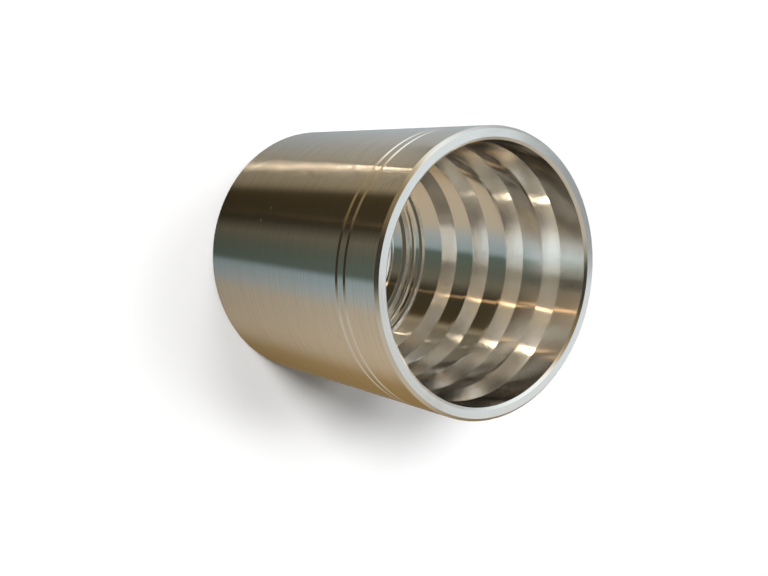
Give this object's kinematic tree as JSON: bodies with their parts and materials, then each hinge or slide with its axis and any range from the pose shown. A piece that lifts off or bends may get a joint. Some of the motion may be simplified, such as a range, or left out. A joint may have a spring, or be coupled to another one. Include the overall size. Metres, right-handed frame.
{
  "type": "crimp hose ferrule",
  "caption": "Turned steel crimp ferrule for hydraulic hose: plain sleeve with barbed teeth inside, a stepped locking collar at the rear and two rings scribed outside.",
  "frame": {"origin": "centre of the rear face, on the axis, at the collar end that it stands on", "axes": "+Z along the axis from the rear face up to the mouth where the hose goes in; X and Y are any two directions across it, as the part is round"},
  "size_m": [0.066, 0.066, 0.071],
  "materials": {
    "turned_steel": "bright, fine turned, faint warm tint"
  },
  "bodies": {
    "root": {"ferrule": "turned_steel"}
  },
  "joints": []
}
